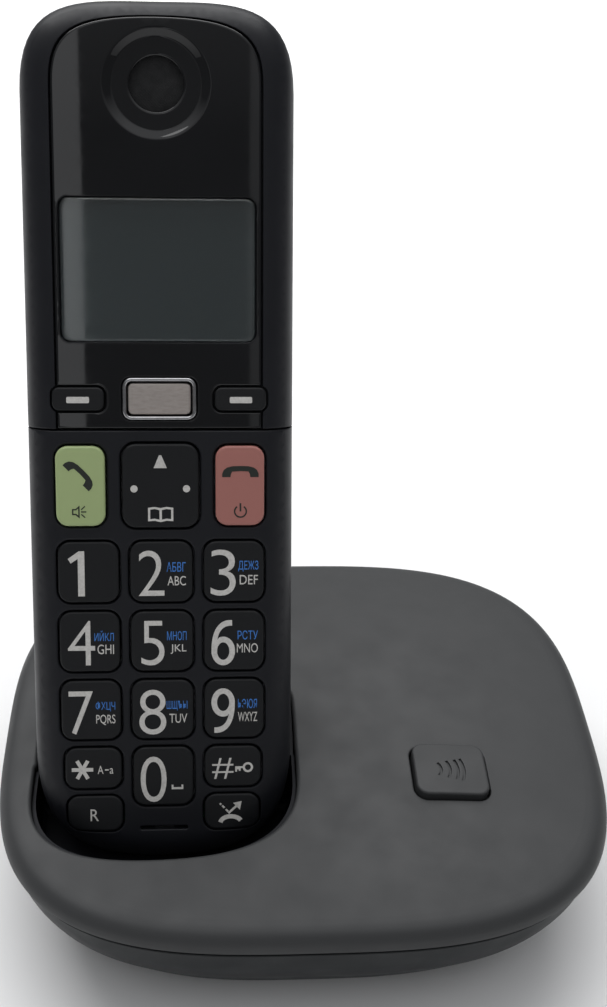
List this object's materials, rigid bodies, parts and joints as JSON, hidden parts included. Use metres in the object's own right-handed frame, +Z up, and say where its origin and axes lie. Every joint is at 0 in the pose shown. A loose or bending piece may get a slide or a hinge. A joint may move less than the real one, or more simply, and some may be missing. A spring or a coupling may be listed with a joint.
{
  "type": "cordless phone with charging base",
  "caption": "Cordless phone handset leaning in the cradle of a low rounded-square charging base, with a keypad, a screen and a paging button on the base.",
  "frame": {"origin": "under the middle of the whole object, on the surface that the rubber feet stand on", "axes": "+Z up, -Y towards the user who reads the keys, +X to the user's right"},
  "size_m": [0.1232, 0.1194, 0.164],
  "materials": {
    "base_grey": "fine satin texture",
    "housing_grey": "fine satin texture",
    "charcoal": "satin",
    "gloss_black": "gloss",
    "key_black": "matte, with printed figures",
    "talk_green": "satin",
    "off_red": "satin",
    "silver": "silver paint",
    "chrome": "polished",
    "clear_lens": "clear gloss",
    "lcd": "switched off display",
    "white_plastic": "matte",
    "board_green": "solder mask",
    "socket_black": "moulded",
    "membrane": "silicone",
    "rubber": "matte",
    "battery_wrap": "printed wrap",
    "steel": "plated",
    "gold": "gold flash"
  },
  "bodies": {
    "base": {"base_bottom_housing": "housing_grey", "base_top_cover": "base_grey", "cradle_liner": "gloss_black", "base_circuit_board": "board_green", "line_socket": "socket_black", "dc_power_socket": "socket_black", "charge_spring_left": "steel", "charge_spring_right": "steel", "locator_switch": "socket_black", "rubber_foot_front_left": "rubber", "rubber_foot_front_right": "rubber", "rubber_foot_rear_left": "rubber", "rubber_foot_rear_right": "rubber", "base_screw_left": "steel", "base_screw_right": "steel"},
    "locator_button": {"locator_button": "base_grey"},
    "handset": {"front_frame": "charcoal", "keypad_cover": "charcoal", "window_panel": "gloss_black", "lcd_lens": "clear_lens", "lcd_module": "lcd", "lcd_backlight": "white_plastic", "earpiece_mesh": "socket_black", "earpiece_speaker": "steel", "menu_key_bezel": "chrome", "keypad_membrane": "membrane", "handset_circuit_board": "board_green", "microphone": "steel", "loudspeaker": "steel", "rear_case": "charcoal", "battery_left": "battery_wrap", "battery_right": "battery_wrap", "battery_contact_bottom": "steel", "battery_contact_top": "steel", "charge_contact_left": "gold", "charge_contact_right": "gold", "handset_screw_left": "steel", "handset_screw_right": "steel"},
    "battery_cover": {"battery_cover": "charcoal"},
    "nav_pivot": {"nav_pivot": "rubber"},
    "navigator_key": {"navigator_key": "key_black"},
    "menu_key": {"menu_key": "silver"},
    "soft_key_left": {"soft_key_left": "key_black"},
    "soft_key_right": {"soft_key_right": "key_black"},
    "talk_key": {"talk_key": "talk_green"},
    "off_key": {"off_key": "off_red"},
    "key_1": {"key_1": "key_black"},
    "key_2": {"key_2": "key_black"},
    "key_3": {"key_3": "key_black"},
    "key_4": {"key_4": "key_black"},
    "key_5": {"key_5": "key_black"},
    "key_6": {"key_6": "key_black"},
    "key_7": {"key_7": "key_black"},
    "key_8": {"key_8": "key_black"},
    "key_9": {"key_9": "key_black"},
    "key_star": {"key_star": "key_black"},
    "key_0": {"key_0": "key_black"},
    "key_hash": {"key_hash": "key_black"},
    "recall_key": {"recall_key": "key_black"},
    "call_block_key": {"call_block_key": "key_black"}
  },
  "joints": [
    {"name": "handset_lift", "type": "slide", "parent": "base", "child": "handset", "axis": [0, 0.4431, 0.8965], "range_m": [0, 0.08]},
    {"name": "locator_button_press", "type": "slide", "parent": "base", "child": "locator_button", "axis": [0, 0, -1], "range_m": [0, 0.001], "stiffness_N_per_m": 400},
    {"name": "battery_cover_release", "type": "slide", "parent": "handset", "child": "battery_cover", "axis": [0, 0.8965, -0.4431], "range_m": [0, 0.006]},
    {"name": "navigator_rock_up_down", "type": "hinge", "parent": "handset", "child": "nav_pivot", "pos_m": [-0.0283, 0.00275, 0.0858], "axis": [1, 0, 0], "range_deg": [-3, 3], "stiffness_Nm_per_rad": 0.03},
    {"name": "navigator_rock_left_right", "type": "hinge", "parent": "nav_pivot", "child": "navigator_key", "pos_m": [-0.0283, 0.00275, 0.0858], "axis": [0, 0.4431, 0.8965], "range_deg": [-3, 3], "stiffness_Nm_per_rad": 0.03},
    {"name": "menu_key_press", "type": "slide", "parent": "handset", "child": "menu_key", "axis": [0, 0.8965, -0.4431], "range_m": [0, 0.0008], "stiffness_N_per_m": 400},
    {"name": "soft_key_left_press", "type": "slide", "parent": "handset", "child": "soft_key_left", "axis": [0, 0.8965, -0.4431], "range_m": [0, 0.0008], "stiffness_N_per_m": 400},
    {"name": "soft_key_right_press", "type": "slide", "parent": "handset", "child": "soft_key_right", "axis": [0, 0.8965, -0.4431], "range_m": [0, 0.0008], "stiffness_N_per_m": 400},
    {"name": "talk_key_press", "type": "slide", "parent": "handset", "child": "talk_key", "axis": [0, 0.8965, -0.4431], "range_m": [0, 0.0008], "stiffness_N_per_m": 400},
    {"name": "off_key_press", "type": "slide", "parent": "handset", "child": "off_key", "axis": [0, 0.8965, -0.4431], "range_m": [0, 0.0008], "stiffness_N_per_m": 400},
    {"name": "key_1_press", "type": "slide", "parent": "handset", "child": "key_1", "axis": [0, 0.8965, -0.4431], "range_m": [0, 0.0008], "stiffness_N_per_m": 400},
    {"name": "key_2_press", "type": "slide", "parent": "handset", "child": "key_2", "axis": [0, 0.8965, -0.4431], "range_m": [0, 0.0008], "stiffness_N_per_m": 400},
    {"name": "key_3_press", "type": "slide", "parent": "handset", "child": "key_3", "axis": [0, 0.8965, -0.4431], "range_m": [0, 0.0008], "stiffness_N_per_m": 400},
    {"name": "key_4_press", "type": "slide", "parent": "handset", "child": "key_4", "axis": [0, 0.8965, -0.4431], "range_m": [0, 0.0008], "stiffness_N_per_m": 400},
    {"name": "key_5_press", "type": "slide", "parent": "handset", "child": "key_5", "axis": [0, 0.8965, -0.4431], "range_m": [0, 0.0008], "stiffness_N_per_m": 400},
    {"name": "key_6_press", "type": "slide", "parent": "handset", "child": "key_6", "axis": [0, 0.8965, -0.4431], "range_m": [0, 0.0008], "stiffness_N_per_m": 400},
    {"name": "key_7_press", "type": "slide", "parent": "handset", "child": "key_7", "axis": [0, 0.8965, -0.4431], "range_m": [0, 0.0008], "stiffness_N_per_m": 400},
    {"name": "key_8_press", "type": "slide", "parent": "handset", "child": "key_8", "axis": [0, 0.8965, -0.4431], "range_m": [0, 0.0008], "stiffness_N_per_m": 400},
    {"name": "key_9_press", "type": "slide", "parent": "handset", "child": "key_9", "axis": [0, 0.8965, -0.4431], "range_m": [0, 0.0008], "stiffness_N_per_m": 400},
    {"name": "key_star_press", "type": "slide", "parent": "handset", "child": "key_star", "axis": [0, 0.8965, -0.4431], "range_m": [0, 0.0008], "stiffness_N_per_m": 400},
    {"name": "key_0_press", "type": "slide", "parent": "handset", "child": "key_0", "axis": [0, 0.8965, -0.4431], "range_m": [0, 0.0008], "stiffness_N_per_m": 400},
    {"name": "key_hash_press", "type": "slide", "parent": "handset", "child": "key_hash", "axis": [0, 0.8965, -0.4431], "range_m": [0, 0.0008], "stiffness_N_per_m": 400},
    {"name": "recall_key_press", "type": "slide", "parent": "handset", "child": "recall_key", "axis": [0, 0.8965, -0.4431], "range_m": [0, 0.0008], "stiffness_N_per_m": 400},
    {"name": "call_block_key_press", "type": "slide", "parent": "handset", "child": "call_block_key", "axis": [0, 0.8965, -0.4431], "range_m": [0, 0.0008], "stiffness_N_per_m": 400}
  ]
}
